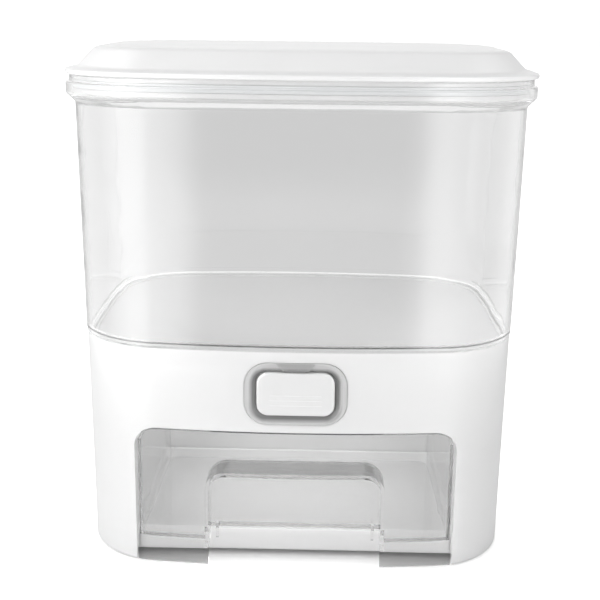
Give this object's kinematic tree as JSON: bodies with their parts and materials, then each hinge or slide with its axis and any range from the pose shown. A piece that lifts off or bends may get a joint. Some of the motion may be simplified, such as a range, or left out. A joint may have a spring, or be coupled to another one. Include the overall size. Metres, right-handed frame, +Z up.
{
  "type": "rice dispenser with drawer",
  "caption": "Countertop rice dispenser: clear rounded hopper with a white lid, white base with a push button, and a clear drawer with a finger pocket.",
  "frame": {"origin": "middle of the body in plan, at the underside of the feet", "axes": "+Z up, -Y is the front with the button and drawer, +X to the right seen from the front"},
  "size_m": [0.2976, 0.2356, 0.327],
  "materials": {
    "white_plastic": "satin moulded",
    "clear_plastic": "clear polished",
    "grey_plastic": "satin moulded",
    "silicone": "soft silicone",
    "foot_rubber": "soft matt",
    "steel": "zinc plated"
  },
  "bodies": {
    "base": {"base_housing": "white_plastic", "bottom_plate": "white_plastic", "hopper": "clear_plastic", "hopper_seal": "silicone", "funnel": "white_plastic", "gate_guide": "white_plastic", "button_bezel": "grey_plastic", "return_spring_left": "steel", "return_spring_right": "steel", "plate_screws": "steel", "gate_screws": "steel", "funnel_screws": "steel", "foot_1": "foot_rubber", "foot_2": "foot_rubber", "foot_3": "foot_rubber", "foot_4": "foot_rubber"},
    "lid": {"lid_cover": "white_plastic", "lid_ring": "white_plastic", "lid_gasket": "silicone"},
    "button": {"button_cap": "white_plastic", "push_frame": "white_plastic", "shutter_plate": "white_plastic", "shutter_screws": "steel"},
    "drawer": {"drawer": "clear_plastic"}
  },
  "joints": [
    {"name": "lid_lift", "type": "slide", "parent": "base", "child": "lid", "axis": [0, 0, 1], "range_m": [0, 0.06]},
    {"name": "drawer_slide", "type": "slide", "parent": "base", "child": "drawer", "axis": [0, -1, 0], "range_m": [0, 0.145]},
    {"name": "button_press", "type": "slide", "parent": "base", "child": "button", "axis": [0, 1, 0], "range_m": [0, 0.012], "stiffness_N_per_m": 600, "springref_m": -0.004, "deforming": ["return_spring_left", "return_spring_right"]}
  ]
}
